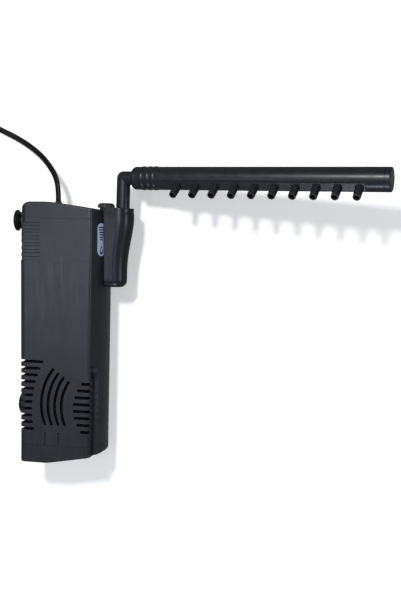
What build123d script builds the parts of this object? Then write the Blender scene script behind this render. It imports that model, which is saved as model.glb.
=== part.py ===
from build123d import *
import math
import os

# Internal power filter for an aquarium, lying on one of its two flat sides.
# Millimetres. +Z points up from the surface it lies on, +X points to the filter's front,
# where the outlet column and the spray bar are, and +Y points to the filter's own top.
# The origin is the middle of the flat side that the filter rests on.

# ---- driving dimensions of the housing ----
WIDTH = 64.0
MID_Z = WIDTH / 2
BACK_DEPTH = 38.5
FRONT_DEPTH = 36.0
FRONT_BULGE = 8.0
BACK_CORNER = 6.0
FRONT_CORNER = 3.5
WALL = 2.2
SEAM_GAP = 0.4

TOP_Y = 131.7
TOP_FRONT_Y = 125.3
COVER_SEAM_Y = 115.0
HEAD_SEAM_Y = 73.5
CAP_SEAM_Y = -113.3
BASE_Y = -132.0
BASE_FRONT_Y = -124.0

CANISTER_BACK_TOP = 39.3
CANISTER_BACK_LOW = 37.7
CANISTER_FRONT_TOP = 35.9
CANISTER_FRONT_LOW = 35.2
RECESS_X = 36.3
RECESS_WIDTH = 14.0
RECESS_TOP_Y = -30.0
COVER_OVERRUN = 0.6

# ---- grip ribs round the head's back corners ----
RIB_ROWS = 5
RIB_LOW_Y = 78.6
RIB_PITCH = 6.85
RIB_HEIGHT = 3.2
RIB_DEPTH = 0.5
RIB_END_X = -17.0
GROOVE_DEPTH = 0.7

# ---- slots of the canister: rows step down from the first row's height ----
BACK_SLOT_ROWS = 11
BACK_SLOT_TOP_Y = -28.9
BACK_SLOT_PITCH = 6.85
BACK_SLOT_HEIGHT = 3.1
FRONT_SLOT_ROWS = 8
FRONT_SLOT_TOP_Y = -49.5
FRONT_SLOT_PITCH = 6.93
FRONT_SLOT_HEIGHT = 3.2
CURVED_SLOT_COUNT = 4
CURVED_SLOT_WIDTH = 3.2

# ---- pump ----
ROTOR_X = 10.0
WELL_BORE = 8.0
WELL_WALL = 1.5
WELL_TOP_Y = 115.0
DUCT_RADIUS = 6.3
VOLUTE_RADIUS = 16.0
VOLUTE_LOW_Y = 76.2
VOLUTE_HIGH_Y = 87.5
FLOOR_Y = 89.5
SHAFT_RADIUS = 1.25
PORT_Y = 81.5

# ---- valve tower and dial ----
TOWER_X = 41.3
TOWER_RADIUS = 6.5
TOWER_BORE = 4.6
TOWER_TOP_Y = 127.1
DIAL_RADIUS = 8.7

# ---- outlet column, elbow and spray bar ----
KNEE_X = 59.5
KNEE_Y = 157.45
COLUMN_TILT = 1.06
BAR_SWIVEL = 10.2
COLUMN_TOP_Y = 127.0
COLUMN_CAP_Y = 122.6
COLUMN_LOW_Y = 46.9
PIPE_RADIUS = 6.9
PIPE_BORE = 5.2
BAR_RADIUS = 11.45
BAR_BORE = 9.9
COLLAR_START = 11.3
COLLAR_END = 40.3
BAR_END = 263.4
CAP_END = 269.3
NOZZLE_COUNT = 10
NOZZLE_START = 63.7
NOZZLE_PITCH = 19.8
NOZZLE_REACH = 27.1
NOZZLE_ANGLE = 48.8

# ---- suction cups ----
CUP_BASE_X = -41.2
CUP_STEM = 2.6
CUP_HEAD_RADIUS = 4.2
CUP_RADIUS = 11.0
CUP_LENGTH = 7.0
LOWER_CUP_Y = -77.4
UPPER_CUP_Y = 113.2
UPPER_CUP_SPACING = 32.0

# ---- mains cord: it leaves the gland, settles on the floor and is gathered in a coil ----
CORD_DIAMETER = 5.8
COIL_X = -137.0
COIL_Y = 190.0
COIL_INNER = 24.3
COIL_OUTER = 41.0
COIL_LOW_Z = 0.9
COIL_HIGH_Z = 12.9
GLAND_X = -10.4
GLAND_RADIUS = 4.6
GLAND_LIP = 1.8
CORD_ROUTE = [
    (GLAND_X, TOP_Y + GLAND_LIP, MID_Z),
    (GLAND_X, TOP_Y + 13.0, MID_Z),
    (-14.3, 158.5, 28.9),
    (-24.5, 171.0, 21.5),
    (-38.5, 183.8, 12.5),
    (-55.5, 195.0, 6.0),
    (-72.5, 204.3, 3.4),
    (-90.0, 212.2, 2.95),
    (-106.0, 220.4, 3.6),
    (-120.4, 228.5, 4.2),
]
TAIL_ROUTE = [
    (-178.9, 187.0, 9.6),
    (-178.4, 172.0, 8.6),
    (-175.2, 158.0, 7.3),
    (-170.2, 145.4, 6.85),
]
PLUG_X = -166.4
PLUG_Y = 134.0
PLUG_HEIGHT = 13.7
PLUG_TURN = 18.5


def level(y):
    """Plane across the filter at height y: its own axes are X and Z, and it faces down."""
    return Plane(origin=(0, y, 0), x_dir=(1, 0, 0), z_dir=(0, -1, 0))


def prism(outline, low_y, high_y):
    """Extrude an X-Z outline between two heights."""
    return extrude(level(high_y) * outline, amount=high_y - low_y)


def rod(x, z, radius, low_y, high_y):
    """Round bar along Y."""
    return prism(Pos(x, z) * Circle(radius), low_y, high_y)


def rod_x(x, y, z, radius, length):
    """Round bar along X that starts at x."""
    bar = Cylinder(radius, length, align=(Align.CENTER, Align.CENTER, Align.MIN))
    return Location((x, y, z), (0, 90, 0)) * bar


def ring(x, z, outer, inner, low_y, high_y):
    """Round sleeve along Y."""
    return rod(x, z, outer, low_y, high_y) - rod(x, z, inner, low_y, high_y)


def block(x0, x1, y0, y1, z0, z1):
    """Box between two corners."""
    return Pos((x0 + x1) / 2, (y0 + y1) / 2, (z0 + z1) / 2) * Box(x1 - x0, y1 - y0, z1 - z0)


def housing_outline(inset=0.0, back=BACK_DEPTH, front=FRONT_DEPTH, bulge=FRONT_BULGE):
    """Cross-section of the housing: a rounded box with a bowed front."""
    x0 = inset - back
    x1 = front - inset
    z0 = inset
    z1 = WIDTH - inset
    face = make_face(
        Line((x0, z0), (x0, z1))
        + Line((x0, z1), (x1, z1))
        + ThreePointArc((x1, z1), (x1 + bulge, MID_Z), (x1, z0))
        + Line((x1, z0), (x0, z0))
    )
    corners = face.vertices().sort_by(Axis.X)
    face = fillet(corners[:2], max(BACK_CORNER - inset, 1.0))
    corners = face.vertices().sort_by(Axis.X)
    return fillet(corners[-2:], max(FRONT_CORNER - inset, 0.8))


def canister_depths(y):
    """How far the canister reaches to the back and to the front at height y."""
    share = (HEAD_SEAM_Y - y) / (HEAD_SEAM_Y - CAP_SEAM_Y)
    back = CANISTER_BACK_TOP + (CANISTER_BACK_LOW - CANISTER_BACK_TOP) * share
    front = CANISTER_FRONT_TOP + (CANISTER_FRONT_LOW - CANISTER_FRONT_TOP) * share
    return back, front


def canister_outline(y, inset=0.0, bulge=FRONT_BULGE):
    """Cross-section of the canister and the base cap at height y."""
    back, front = canister_depths(y)
    return housing_outline(inset, back, front, bulge)


def canister_body(low_y, high_y, inset=0.0, bulge=FRONT_BULGE):
    """Tapering solid between two heights: extruded along the front's slope, then cut to the back's."""
    low_back, low_front = canister_depths(low_y)
    high_front = canister_depths(high_y)[1]
    slope = Vector(high_front - low_front, high_y - low_y, 0)
    outline = housing_outline(inset, low_back + 10, low_front, bulge)
    body = extrude(level(low_y) * outline, amount=slope.length, dir=slope.normalized())
    under, over = low_y - 1, high_y + 1
    behind = make_face(Polyline(
        (-60, under),
        (inset - canister_depths(under)[0], under),
        (inset - canister_depths(over)[0], over),
        (-60, over),
        close=True,
    ))
    body -= across(behind)
    corners = [e for e in body.edges() if e.center().X < -30 and abs(e.center().Z - MID_Z) > 20]
    return fillet(corners, max(BACK_CORNER - inset, 1.0))


def side_profile(points, radii):
    """Side view outline in X-Y with one fillet radius for each of its first corners."""
    face = make_face(Polyline(*points, close=True))
    for point, radius in zip(points, radii):
        corner = face.vertices().sort_by_distance(Vector(point[0], point[1], 0))[0]
        face = fillet(corner, radius)
    return face


def across(face, z0=-5.0, z1=WIDTH + 5.0):
    """Extrude a side view outline across the filter's width."""
    return extrude(Plane.XY.offset(z0) * face, amount=z1 - z0)


# ---- pump head ----
def tower(low_y, high_y):
    """Round valve tower that stands in the bowed front of the head."""
    return rod(TOWER_X, MID_Z, TOWER_RADIUS, low_y, high_y)


def grip_ribs():
    """Low ribs round both back corners, proud of the back and flush with the flat sides."""
    corner_z = 8.5
    ribs = []
    for row in range(RIB_ROWS):
        middle = RIB_LOW_Y + row * RIB_PITCH
        low, high = middle - RIB_HEIGHT / 2, middle + RIB_HEIGHT / 2
        rib = prism(housing_outline(-RIB_DEPTH), low, high)
        rib = chamfer(rib.faces().sort_by(Axis.Y)[0].edges(), RIB_DEPTH)
        rib = chamfer(rib.faces().sort_by(Axis.Y)[-1].edges(), RIB_DEPTH)
        rib -= prism(housing_outline(0.3), low - 1, high + 1)
        rib &= block(-BACK_DEPTH - 2, RIB_END_X, low, high, 0, WIDTH)
        rib -= block(-BACK_DEPTH - 2, -30, low, high, corner_z, WIDTH - corner_z)
        ribs.append(rib)
    return ribs


def grip_grooves():
    """Shallow grooves with sloping sides in the flat sides, above, between and below the ribs."""
    half = (RIB_PITCH - RIB_HEIGHT) / 2
    start_x = -BACK_DEPTH - 2
    section = Plane(origin=(start_x, 0, 0), x_dir=(0, 1, 0), z_dir=(1, 0, 0))
    grooves = []
    for row in range(RIB_ROWS + 1):
        middle = RIB_LOW_Y + (row - 0.5) * RIB_PITCH
        outline = make_face(Polyline(
            (middle - half + GROOVE_DEPTH, WIDTH - GROOVE_DEPTH),
            (middle + half - GROOVE_DEPTH, WIDTH - GROOVE_DEPTH),
            (middle + half + 1, WIDTH + 1),
            (middle - half - 1, WIDTH + 1),
            close=True,
        ))
        groove = extrude(section * outline, amount=RIB_END_X - start_x)
        grooves.append(groove)
        grooves.append(groove.mirror(Plane.XY.offset(MID_Z)))
    return grooves


def head_casing():
    low = HEAD_SEAM_Y + SEAM_GAP / 2
    high = COVER_SEAM_Y - SEAM_GAP / 2
    shell = prism(housing_outline(), low, high)
    shell -= prism(housing_outline(WALL), FLOOR_Y, high + 1)
    shell -= prism(housing_outline(WALL), low - 1, VOLUTE_HIGH_Y)
    shell += rod(ROTOR_X, MID_Z, WELL_BORE + WELL_WALL, VOLUTE_HIGH_Y, WELL_TOP_Y)
    shell += rod(ROTOR_X, MID_Z, VOLUTE_RADIUS + 4, low, VOLUTE_HIGH_Y)
    shell += rod_x(ROTOR_X, PORT_Y, MID_Z, DUCT_RADIUS, TOWER_X - ROTOR_X)
    shell += tower(low, high)
    skirt = prism(housing_outline(WALL + 0.4), low - 6, low + 1)
    skirt -= prism(housing_outline(WALL + 2.2), low - 7, low + 2)
    bridge = prism(housing_outline(WALL - 0.5), low, low + 1.6)
    bridge -= prism(housing_outline(WALL + 2.2), low - 1, low + 2)
    shadow_ring = prism(housing_outline(0.6), low - 0.3, low + 0.5)
    shadow_ring -= prism(housing_outline(WALL + 2.2), low - 1, low + 1)
    shell += skirt
    shell += bridge
    shell += shadow_ring
    shell -= rod(ROTOR_X, MID_Z, WELL_BORE, VOLUTE_LOW_Y, WELL_TOP_Y - 1.5)
    shell -= rod(ROTOR_X, MID_Z, VOLUTE_RADIUS, low - 1, VOLUTE_HIGH_Y)
    shell -= rod(ROTOR_X, MID_Z, VOLUTE_RADIUS + 2.05, low - 1, VOLUTE_LOW_Y)
    shell -= rod(TOWER_X, MID_Z, TOWER_BORE, VOLUTE_LOW_Y, high + 1)
    shell -= rod_x(ROTOR_X + VOLUTE_RADIUS - 2, PORT_Y, MID_Z, 4.0, 40)
    for groove in grip_grooves():
        shell -= groove
    for rib in grip_ribs():
        shell += rib
    shell += bracket_rail()
    shell -= label_pocket()
    return shell


def rail_outline(grow=0.0):
    """Dovetail on the head's back, in X-Z."""
    neck = 4.0 + grow
    edge = 5.6 + grow
    x0 = -BACK_DEPTH + 0.2
    x1 = -BACK_DEPTH - 1.5 - grow
    return make_face(Polyline(
        (x0, MID_Z - neck), (x1, MID_Z - edge), (x1, MID_Z + edge), (x0, MID_Z + neck), close=True,
    ))


def bracket_rail():
    return prism(rail_outline(), 90, 111)


def label_region(grow=0.0):
    """Rounded field for the label on the head's bowed front, beside the tower."""
    low_y, high_y = 77.5 - grow, 112.2 + grow
    low_z, high_z = 40.2 - grow, 55.8 + grow
    field = Pos((low_z + high_z) / 2, (low_y + high_y) / 2) * RectangleRounded(
        high_z - low_z, high_y - low_y, 4.5 + grow
    )
    facing = Plane(origin=(30, 0, 0), x_dir=(0, 0, 1), z_dir=(-1, 0, 0))
    return extrude(facing * field, amount=-20)


def label_pocket():
    sheet = prism(housing_outline(-1.0), 70, 118) - prism(housing_outline(0.35), 69, 119)
    return sheet & label_region(0.15)


def flow_label():
    sheet = prism(housing_outline(0.02), 70, 118) - prism(housing_outline(0.32), 69, 119)
    return sheet & label_region()


def cover_profile(inset=0.0):
    top = TOP_Y - inset
    front = TOP_FRONT_Y - inset
    back = -BACK_DEPTH - COVER_OVERRUN + inset
    points = [
        (back, top), (-6, top), (FRONT_DEPTH, front), (46, front - 1.3),
        (46, COVER_SEAM_Y), (back, COVER_SEAM_Y),
    ]
    return side_profile(points, [10.5 - inset, 150.0])


def head_cover():
    low = COVER_SEAM_Y + SEAM_GAP / 2
    shell = prism(housing_outline(), low, TOP_Y + 2) & across(cover_profile())
    rim = [e for e in shell.edges() if e.center().Y > COVER_SEAM_Y + 6]
    rim = [e for e in rim if e.bounding_box().size.Z < 40 or abs(e.center().X) > 30]
    shell = fillet([e for e in rim if abs(e.center().Z - MID_Z) > 25], 1.6)
    hollow = prism(housing_outline(WALL), low - 1, TOP_Y + 2) & across(cover_profile(WALL))
    shell -= hollow
    lip = prism(housing_outline(WALL + 0.3), low - 2.4, low + 1.5)
    lip -= prism(housing_outline(WALL + 1.9), low - 3, low + 2)
    bridge = prism(housing_outline(WALL - 0.5), low, low + 1.5)
    bridge -= prism(housing_outline(WALL + 1.9), low - 1, low + 2)
    shell += lip
    shell += bridge
    shell -= rod(TOWER_X, MID_Z, TOWER_RADIUS + 0.2, low - 4, low)
    shell += tower(low, TOWER_TOP_Y)
    shell -= rod(TOWER_X, MID_Z, TOWER_BORE, low - 1, TOWER_TOP_Y + 1)
    shell -= rod(GLAND_X, MID_Z, GLAND_RADIUS, low, TOP_Y + 1)
    return shell


def cable_gland():
    """Rubber bush with a flange under the cover and a short lip round the cord."""
    flange_y = TOP_Y - WALL - 0.8
    bush = rod(GLAND_X, MID_Z, GLAND_RADIUS, flange_y, TOP_Y)
    bush += rod(GLAND_X, MID_Z, 6.2, flange_y - 2, flange_y)
    lip = Cone(3.8, 3.1, GLAND_LIP, align=(Align.CENTER, Align.CENTER, Align.MIN))
    bush += Location((GLAND_X, TOP_Y, MID_Z), (-90, 0, 0)) * lip
    return bush


# ---- motor ----
def stator_core():
    """U-shaped stack of iron sheets that holds the rotor's well between its legs."""
    leg_in, leg_out = 8.0, 18.0
    back, limb, tip = -25.0, -15.0, 21.0
    low, high = 96.0, 110.0
    core = block(back, tip, low, high, MID_Z - leg_out, MID_Z + leg_out)
    core -= block(limb, tip + 1, low - 1, high + 1, MID_Z - leg_in, MID_Z + leg_in)
    return core - rod(ROTOR_X, MID_Z, WELL_BORE + WELL_WALL + 0.1, low - 1, high + 1)


def stator_coil():
    """Winding on the core's back limb."""
    winding = block(-31, -9.2, 90.4, 115.6, MID_Z - 7.6, MID_Z + 7.6)
    winding = fillet(winding.edges().filter_by(Axis.Z), 2.5)
    return winding - block(-25, -15, 96, 110, MID_Z - 9, MID_Z + 9)


def resin_fill():
    """Cast resin that seals the coil and the core into the head."""
    fill = prism(housing_outline(WALL), FLOOR_Y, 111.8)
    fill += prism(housing_outline(WALL + 2.2), 111, 117)
    fill -= rod(ROTOR_X, MID_Z, WELL_BORE + WELL_WALL, FLOOR_Y - 1, WELL_TOP_Y)
    fill -= rod(TOWER_X, MID_Z, TOWER_RADIUS + 0.3, FLOOR_Y - 1, 118)
    fill -= block(-25, 21, 96, 110, MID_Z - 18, MID_Z + 18)
    fill -= block(-31, -9.2, 90.4, 115.6, MID_Z - 7.6, MID_Z + 7.6)
    return fill


def rotor_magnet():
    return ring(ROTOR_X, MID_Z, 7.3, SHAFT_RADIUS + 0.05, 92.5, 110.5)


def ceramic_shaft():
    return rod(ROTOR_X, MID_Z, SHAFT_RADIUS, 75.2, 112.6)


def upper_bush():
    bush = rod(ROTOR_X, MID_Z, WELL_BORE - 0.05, 110.9, WELL_TOP_Y - 1.5)
    return bush - rod(ROTOR_X, MID_Z, SHAFT_RADIUS, 110, 112.6)


def impeller():
    """Hub with six straight vanes and a neck up to the magnet."""
    wheel = rod(ROTOR_X, MID_Z, 4.6, 78.6, 92.5)
    wheel += rod(ROTOR_X, MID_Z, 13.0, 85.2, 86.6)
    vane = block(3.5, 13.0, 78.6, 85.6, -0.7, 0.7)
    for turn in range(6):
        wheel += Pos(ROTOR_X, 0, MID_Z) * vane.rotate(Axis.Y, turn * 60)
    return wheel - rod(ROTOR_X, MID_Z, SHAFT_RADIUS + 0.05, 78, 93)


def volute_cover():
    """Round lid under the impeller with a suction mouth, a spider and a bush for the shaft."""
    low = HEAD_SEAM_Y + 0.2
    lid = rod(ROTOR_X, MID_Z, VOLUTE_RADIUS + 2, low, VOLUTE_LOW_Y)
    lid += ring(ROTOR_X, MID_Z, 10.0, 8.0, low - 4, low)
    lid -= rod(ROTOR_X, MID_Z, 8.0, low - 1, VOLUTE_LOW_Y + 1)
    lid += rod(ROTOR_X, MID_Z, 2.8, 74.2, 78.2)
    for turn in range(4):
        arm = block(1.5, 8.4, low, VOLUTE_LOW_Y, -0.9, 0.9)
        lid += Pos(ROTOR_X, 0, MID_Z) * arm.rotate(Axis.Y, turn * 90 + 45)
    return lid - rod(ROTOR_X, MID_Z, SHAFT_RADIUS + 0.05, 75.1, 79)


# ---- flow valve ----
def flow_spindle():
    """Barrel valve in the tower with a stem up to the dial."""
    spindle = rod(TOWER_X, MID_Z, TOWER_BORE - 0.06, VOLUTE_LOW_Y + 0.2, 88.0)
    spindle += rod(TOWER_X, MID_Z, 2.0, 88.0, 130.0)
    return spindle - rod_x(TOWER_X - 10, PORT_Y, MID_Z, 3.1, 20)


def spindle_bush():
    return ring(TOWER_X, MID_Z, TOWER_BORE, 2.06, 119.0, 126.0)


def flow_dial():
    """Low domed dial with a milled rim and a pointer groove."""
    low = TOWER_TOP_Y + 0.4
    height = 4.5
    dome = rod(TOWER_X, MID_Z, DIAL_RADIUS, low, low + height)
    dome = fillet(dome.faces().sort_by(Axis.Y)[-1].edges(), 3.2)
    notches = 24
    for step in range(notches):
        angle = math.radians(360 / notches * step)
        x = TOWER_X + (DIAL_RADIUS + 0.35) * math.cos(angle)
        z = MID_Z + (DIAL_RADIUS + 0.35) * math.sin(angle)
        dome -= rod(x, z, 0.7, low - 1, low + height)
    dome -= block(TOWER_X - 0.6, TOWER_X + 0.6, low + height - 0.7, low + height + 1, MID_Z, MID_Z + 6)
    return dome - rod(TOWER_X, MID_Z, 2.0, low - 1, 130.0)


# ---- outlet column ----
def lean(shape):
    """Tilt a piece forward about the knee of the elbow, as the whole outlet leans."""
    return shape.rotate(Axis((KNEE_X, KNEE_Y, MID_Z), (0, 0, 1)), -COLUMN_TILT)


def column_outline(front, half_width, back=40.0):
    """Straight sides and a round front, in X-Z."""
    near, far = MID_Z + half_width, MID_Z - half_width
    bend = front - half_width
    return make_face(
        Line((back, far), (back, near))
        + Line((back, near), (bend, near))
        + ThreePointArc((bend, near), (front, MID_Z), (bend, far))
        + Line((bend, far), (back, far))
    )


def housing_clearance():
    """The head and the canister, a little oversize, as the column's back is shaped to them."""
    return prism(housing_outline(-0.6), 20, 140)


def outlet_column():
    stations = [
        (COLUMN_CAP_Y - 0.05, 70.9, 13.9), (108.0, 70.7, 13.8), (92.0, 68.2, 13.2),
        (76.0, 66.1, 12.6), (62.0, 65.7, 12.2), (COLUMN_LOW_Y, 65.6, 12.0),
    ]
    body = loft([level(y) * column_outline(front, half) for y, front, half in stations])
    foot = body.faces().sort_by(Axis.Y)[0].edges().sort_by(Axis.X)
    body = fillet(foot[1:], 7.0)
    body = lean(body)
    body -= housing_clearance()
    body -= rod(TOWER_X, MID_Z, TOWER_RADIUS + 0.3, HEAD_SEAM_Y, 140)
    bore = rod(KNEE_X, MID_Z, PIPE_RADIUS + 0.08, 99.0, 130)
    bore += rod(KNEE_X, MID_Z, 5.6, 56.0, 99.5)
    bore += rod(KNEE_X, MID_Z, 9.2, COLUMN_CAP_Y - 2.6, 130)
    body -= lean(bore)
    body += rod_x(46.1, PORT_Y, MID_Z, 3.95, 8)
    return body - rod_x(46, PORT_Y, MID_Z, 3.0, KNEE_X - 47)


def column_cap():
    """Cap that closes the column's top and keeps the seal on the elbow."""
    cap = prism(column_outline(70.75, 13.75), COLUMN_CAP_Y + 0.35, COLUMN_TOP_Y)
    cap = fillet(cap.faces().sort_by(Axis.Y)[-1].edges().sort_by(Axis.X)[1:], 0.6)
    cap += prism(column_outline(70.3, 13.3), COLUMN_CAP_Y, COLUMN_CAP_Y + 0.5)
    cap = lean(cap - rod(KNEE_X, MID_Z, PIPE_RADIUS + 0.08, 120, 130))
    cap -= housing_clearance()
    return cap - rod(TOWER_X, MID_Z, TOWER_RADIUS + 0.3, 100, 140)


def elbow_seal():
    seal = Location((KNEE_X, COLUMN_CAP_Y - 1.3, MID_Z), (90, 0, 0)) * Torus(8.05, 1.08)
    return lean(seal)


# ---- elbow and spray bar: x along the bar, y up the elbow, zero at the knee ----
def place_bar(shape):
    """Carry a piece from the knee's own axes to its place on the filter."""
    swung = shape.rotate(Axis.Y, -BAR_SWIVEL)
    return lean(Pos(KNEE_X, KNEE_Y, MID_Z) * swung)


def along_bar(radius, start, end):
    """Round bar along the spray bar's axis."""
    return rod_x(start, 0, 0, radius, end - start)


def elbow():
    foot = 100.0 - KNEE_Y
    pipe_end = 36.0
    solid = rod(0, 0, PIPE_RADIUS, foot, 0) + along_bar(PIPE_RADIUS, 0, pipe_end) + Sphere(PIPE_RADIUS)
    bore = rod(0, 0, PIPE_BORE, foot - 1, 0) + along_bar(PIPE_BORE, 0, pipe_end + 1) + Sphere(PIPE_BORE)
    return place_bar(solid - bore)


def collar_outline():
    """Half section of the ribbed collar, in X-Y, from the shoulder to the bar."""
    base = BAR_RADIUS
    ring_out = 0.55
    bore = PIPE_RADIUS + 0.08
    line = Line((COLLAR_START, bore), (COLLAR_START, 7.9))
    line += ThreePointArc((COLLAR_START, 7.9), (12.6, 10.4), (16.2, base))
    here = 16.2
    for middle in (23.4, 30.2, 36.4):
        line += Line((here, base), (middle - 2.1, base))
        line += ThreePointArc((middle - 2.1, base), (middle, base + ring_out), (middle + 2.1, base))
        here = middle + 2.1
    line += Line((here, base), (COLLAR_END - 0.15, base))
    line += Polyline(
        (COLLAR_END - 0.15, base), (COLLAR_END - 0.15, 10.2), (28.0, 10.2), (28.0, bore), (COLLAR_START, bore)
    )
    return make_face(line)


def bar_collar():
    collar = revolve(collar_outline(), Axis.X)
    collar -= along_bar(9.2, 20.0, 22.6)
    return place_bar(collar)


def bar_seal():
    return place_bar(Location((21.3, 0, 0), (0, 90, 0)) * Torus(8.06, 1.08))


def spray_bar():
    """Tube with a rail and a row of nozzles that point down and to one side."""
    tube = along_bar(BAR_RADIUS, COLLAR_END, BAR_END) + along_bar(10.15, 28.1, COLLAR_END + 1)
    rail = block(45.8, 247.2, -12.35, -8, -4.4, 4.4)
    rail = fillet(rail.faces().sort_by(Axis.Y)[0].edges(), 0.5)
    tube += rail
    nozzle = Cone(4.25, 3.7, NOZZLE_REACH - 9.9, align=(Align.CENTER, Align.CENTER, Align.MIN))
    nozzle = fillet(nozzle.faces().sort_by(Axis.Z)[-1].edges(), 0.5)
    drill = Cylinder(2.7, NOZZLE_REACH, align=(Align.CENTER, Align.CENTER, Align.MIN))
    for index in range(NOZZLE_COUNT):
        x = NOZZLE_START + index * NOZZLE_PITCH
        tube += Location((x, -9.9, 0), (90, 0, 0)) * nozzle
    tube -= along_bar(BAR_BORE, COLLAR_END - 2, BAR_END + 1) + along_bar(8.9, 27, COLLAR_END)
    for index in range(NOZZLE_COUNT):
        x = NOZZLE_START + index * NOZZLE_PITCH
        tube -= Location((x, -6.0, 0), (90, 0, 0)) * drill
    return place_bar(tube.rotate(Axis.X, -NOZZLE_ANGLE))


def bar_end_cap():
    cap = along_bar(BAR_RADIUS, BAR_END + 0.5, CAP_END)
    cap = fillet(cap.faces().sort_by(Axis.X)[-1].edges(), 1.3)
    cap += along_bar(BAR_BORE - 0.05, BAR_END - 7, BAR_END + 0.6)
    return place_bar(cap - along_bar(8.2, BAR_END - 8, CAP_END - 2.2))


# ---- canister ----
def cup_socket(y, z):
    """Hole for a cup's stem, with a wider pocket behind it for the head of the stem."""
    hole = rod_x(CUP_BASE_X - 1, y, z, CUP_STEM + 0.05, 4)
    return hole + rod_x(CUP_BASE_X + 1.5, y, z, CUP_HEAD_RADIUS, 8)


def front_recess(low_y, high_y):
    """Flat recess with a round top beside the raised middle band of the front, on both sides."""
    inner_z = WIDTH - RECESS_WIDTH
    corner_y = RECESS_TOP_Y - RECESS_WIDTH
    facing = Plane(origin=(RECESS_X, 0, 0), x_dir=(0, 0, 1), z_dir=(-1, 0, 0))
    field = make_face(
        Line((inner_z, low_y), (inner_z, corner_y))
        + ThreePointArc(
            (inner_z, corner_y),
            (WIDTH - RECESS_WIDTH * math.sqrt(0.5), corner_y + RECESS_WIDTH * math.sqrt(0.5)),
            (WIDTH, RECESS_TOP_Y),
        )
        + Polyline((WIDTH, RECESS_TOP_Y), (WIDTH + 2, RECESS_TOP_Y), (WIDTH + 2, low_y), (inner_z, low_y))
    )
    near = extrude(facing * field, amount=-12)
    near &= block(20, 60, low_y, high_y, 0, WIDTH + 2)
    return near + near.mirror(Plane.XY.offset(MID_Z))


def back_slots():
    """Rows of slots that wrap round the back corners, flared where they meet the back."""
    height = BACK_SLOT_HEIGHT
    cutters = []
    for row in range(BACK_SLOT_ROWS):
        y = BACK_SLOT_TOP_Y - row * BACK_SLOT_PITCH
        end = -23.9 + 0.233 * (row - 7) ** 2
        slot = block(-45, end - height / 2, y - height / 2, y + height / 2, 51, WIDTH + 3)
        slot += Pos(end - height / 2, y, WIDTH - 3) * Cylinder(height / 2, 10)
        mouth = -CANISTER_BACK_TOP - 1.9
        flare = make_face(Polyline((mouth, y - 3.3), (mouth, y + 3.3), (mouth + 4.8, y), close=True))
        cutters.append(slot + extrude(Plane.XY.offset(50) * flare, amount=16))
    return cutters


def front_slots():
    """Rows of slots that wrap round the front corners into the recess."""
    height = FRONT_SLOT_HEIGHT
    cutters = []
    for row in range(FRONT_SLOT_ROWS):
        y = FRONT_SLOT_TOP_Y - row * FRONT_SLOT_PITCH
        end = 18.9 + 0.66 * (row - 3.55) ** 2
        slot = block(end + height / 2, 50, y - height / 2, y + height / 2, 54.6, WIDTH + 3)
        cutters.append(slot + Pos(end + height / 2, y, WIDTH - 3) * Cylinder(height / 2, 10))
    return cutters


def curved_slots():
    """Four arched slots, each between three points that step along evenly."""
    cutters = []
    for index in range(CURVED_SLOT_COUNT):
        arc = ThreePointArc(
            (-2.1 + 5.5 * index, -36.2 - 4.1 * index),
            (-13.9 + 7.0 * index, -65.9 - 1.3 * index),
            (-10.5 + 7.1 * index, -91.6),
        )
        slot = SlotArc(arc, CURVED_SLOT_WIDTH)
        cutters.append(extrude(Plane.XY.offset(WIDTH - 6) * slot, amount=10))
    return cutters


def latch_slits():
    """Two slits that free a snap tongue in the canister's lower edge."""
    cutters = []
    for x in (-10.2, 3.95):
        slit = block(x - 0.45, x + 0.45, CAP_SEAM_Y - 2, -101.0, WIDTH - 6, WIDTH + 2)
        cutters.append(slit + Pos(x, -101.0, WIDTH - 3) * Cylinder(0.9, 10))
    return cutters


def canister():
    low = CAP_SEAM_Y + 0.15
    high = HEAD_SEAM_Y - SEAM_GAP / 2
    split = RECESS_TOP_Y + 6
    shell = canister_body(low, high)
    shell -= canister_body(split, high, WALL)
    shell -= canister_body(low, split, WALL, bulge=0.6)
    band_z = WIDTH - RECESS_WIDTH - 2.4
    band = canister_body(low, split, WALL)
    shell -= band & block(0, 50, low, split, WIDTH - band_z, band_z)
    shell -= front_recess(low - 1, 0)
    mirror_plane = Plane.XY.offset(MID_Z)
    for cutter in back_slots() + front_slots() + curved_slots() + latch_slits():
        shell -= cutter
        shell -= cutter.mirror(mirror_plane)
    shell += rod_x(CUP_BASE_X, LOWER_CUP_Y, MID_Z, 5.5, 5.0)
    return shell - cup_socket(LOWER_CUP_Y, MID_Z)


def filter_sponge():
    """Foam block with a hole down its middle."""
    sponge = block(-31.5, 31.5, -107.2, 58, 3.5, WIDTH - 3.5)
    sponge = fillet(sponge.edges().filter_by(Axis.Y), 4)
    return sponge - rod(4, MID_Z, 8.5, -70, 59)


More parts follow.
